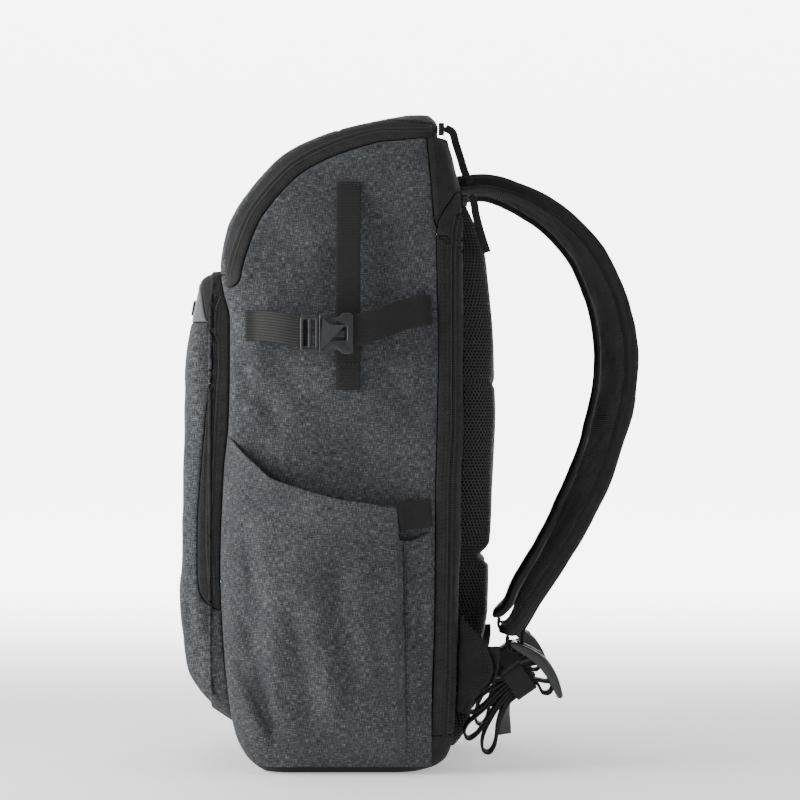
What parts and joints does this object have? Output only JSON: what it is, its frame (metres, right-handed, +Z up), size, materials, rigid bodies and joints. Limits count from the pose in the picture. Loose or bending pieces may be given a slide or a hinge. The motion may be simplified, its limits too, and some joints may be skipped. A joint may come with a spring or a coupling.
{
  "type": "camera backpack",
  "caption": "Tall padded camera backpack with a zipped lid, a zipped rear door, front and side pockets, a padded back, curved shoulder straps and a buckled side strap.",
  "frame": {"origin": "middle of the flat base, on the surface that the bag stands on", "axes": "+Z up, -Y towards the front pocket, +Y towards the wearer's back, +X towards the wearer's right"},
  "size_m": [0.3566, 0.3189, 0.46],
  "materials": {
    "heather_cloth": "woven blue-grey heather polyester, matt",
    "black_cloth": "smooth tightly woven black nylon, matt",
    "patch_cloth": "smooth coated mid-grey cloth, soft sheen",
    "zip_tape": "woven black zip tape with a coil zip",
    "air_mesh": "black open spacer mesh over foam",
    "webbing": "ribbed black webbing",
    "moulded_plastic": "dark grey moulded plastic, fine satin",
    "slider_metal": "dark nickel zip slider"
  },
  "bodies": {
    "root": {"main_shell": "heather_cloth", "base_panel": "black_cloth", "top_flap": "heather_cloth", "flap_roof": "black_cloth", "flap_zip_band": "zip_tape", "yoke": "black_cloth", "rear_zip_gusset": "zip_tape", "back_door": "black_cloth", "back_pad": "air_mesh", "front_pocket": "heather_cloth", "front_patch": "patch_cloth", "front_pocket_gusset": "zip_tape", "front_badge": "moulded_plastic", "side_pocket_right": "heather_cloth", "side_pocket_left": "heather_cloth", "pocket_elastic_right": "webbing", "pocket_elastic_left": "webbing", "side_handle": "webbing", "side_strap_front": "webbing", "side_strap_rear": "webbing", "buckle_male": "moulded_plastic", "buckle_female": "moulded_plastic", "shoulder_strap_right": "black_cloth", "shoulder_strap_left": "black_cloth", "strap_webbing_right": "webbing", "strap_webbing_left": "webbing", "ladder_lock_right": "moulded_plastic", "ladder_lock_left": "moulded_plastic", "harness_wing_right": "black_cloth", "harness_wing_left": "black_cloth", "adjuster_webbing_right": "webbing", "adjuster_webbing_left": "webbing", "webbing_keeper_right": "webbing", "webbing_keeper_left": "webbing", "flap_slider": "slider_metal", "flap_pull": "webbing", "door_slider": "slider_metal", "door_pull": "webbing"}
  },
  "joints": []
}
